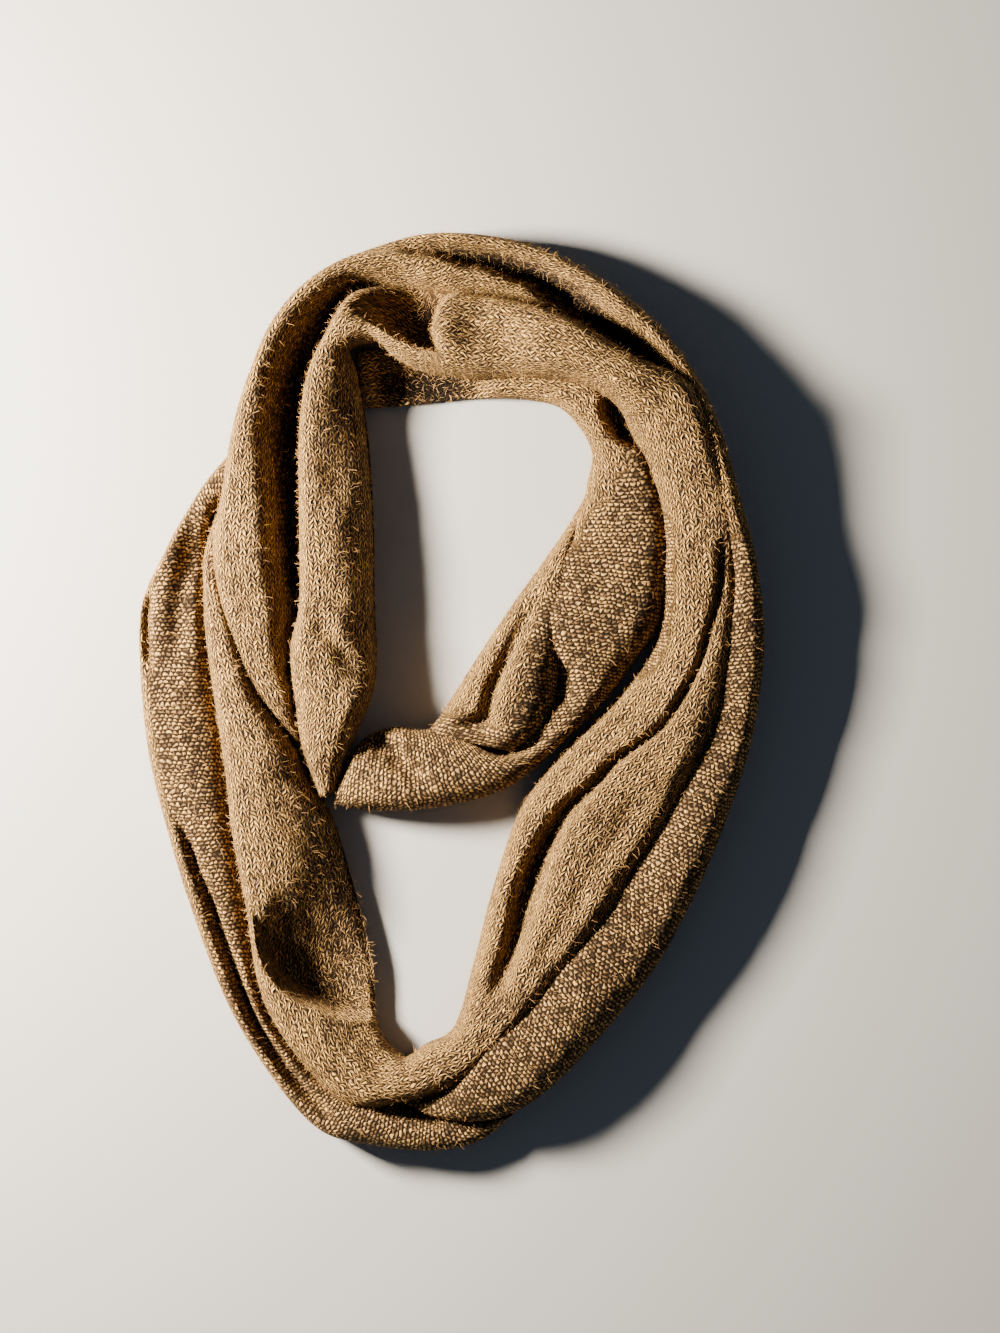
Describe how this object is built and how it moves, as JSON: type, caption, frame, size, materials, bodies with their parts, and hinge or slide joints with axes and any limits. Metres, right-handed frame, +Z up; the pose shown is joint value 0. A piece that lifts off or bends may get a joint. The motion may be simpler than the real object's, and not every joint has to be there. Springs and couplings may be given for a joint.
{
  "type": "infinity scarf",
  "caption": "Camel knitted infinity scarf, a loop wound twice and laid flat, its strip gathered into soft folded bundles.",
  "frame": {"origin": "centre of the laid scarf's outline, on the surface it rests on", "axes": "+Z up from the surface, +Y along the long way of the laid loop towards the crossing band, +X across it"},
  "size_m": [0.3016, 0.4434, 0.0492],
  "materials": {
    "left_main": "brushed plain knit",
    "top_left": "brushed plain knit",
    "top_right": "brushed plain knit",
    "right_outer": "purl side of the knit",
    "inner_left": "brushed plain knit",
    "inner_turn": "brushed plain knit",
    "crossing": "brushed plain knit",
    "right_main": "brushed plain knit",
    "bottom_main": "brushed plain knit",
    "lower_left": "brushed plain knit",
    "inner_top": "brushed plain knit",
    "inner_right": "purl side of the knit",
    "inner_bottom": "purl side of the knit",
    "bottom_outer": "purl side of the knit",
    "left_outer": "purl side of the knit",
    "inner_flap": "brushed plain knit"
  },
  "bodies": {
    "root": {"left_main": "left_main", "top_left": "top_left", "top_right": "top_right", "right_outer": "right_outer", "inner_left": "inner_left", "inner_turn": "inner_turn", "crossing": "crossing", "right_main": "right_main", "bottom_main": "bottom_main", "lower_left": "lower_left", "inner_top": "inner_top", "inner_right": "inner_right", "inner_bottom": "inner_bottom", "bottom_outer": "bottom_outer", "left_outer": "left_outer", "inner_flap": "inner_flap"}
  },
  "joints": []
}
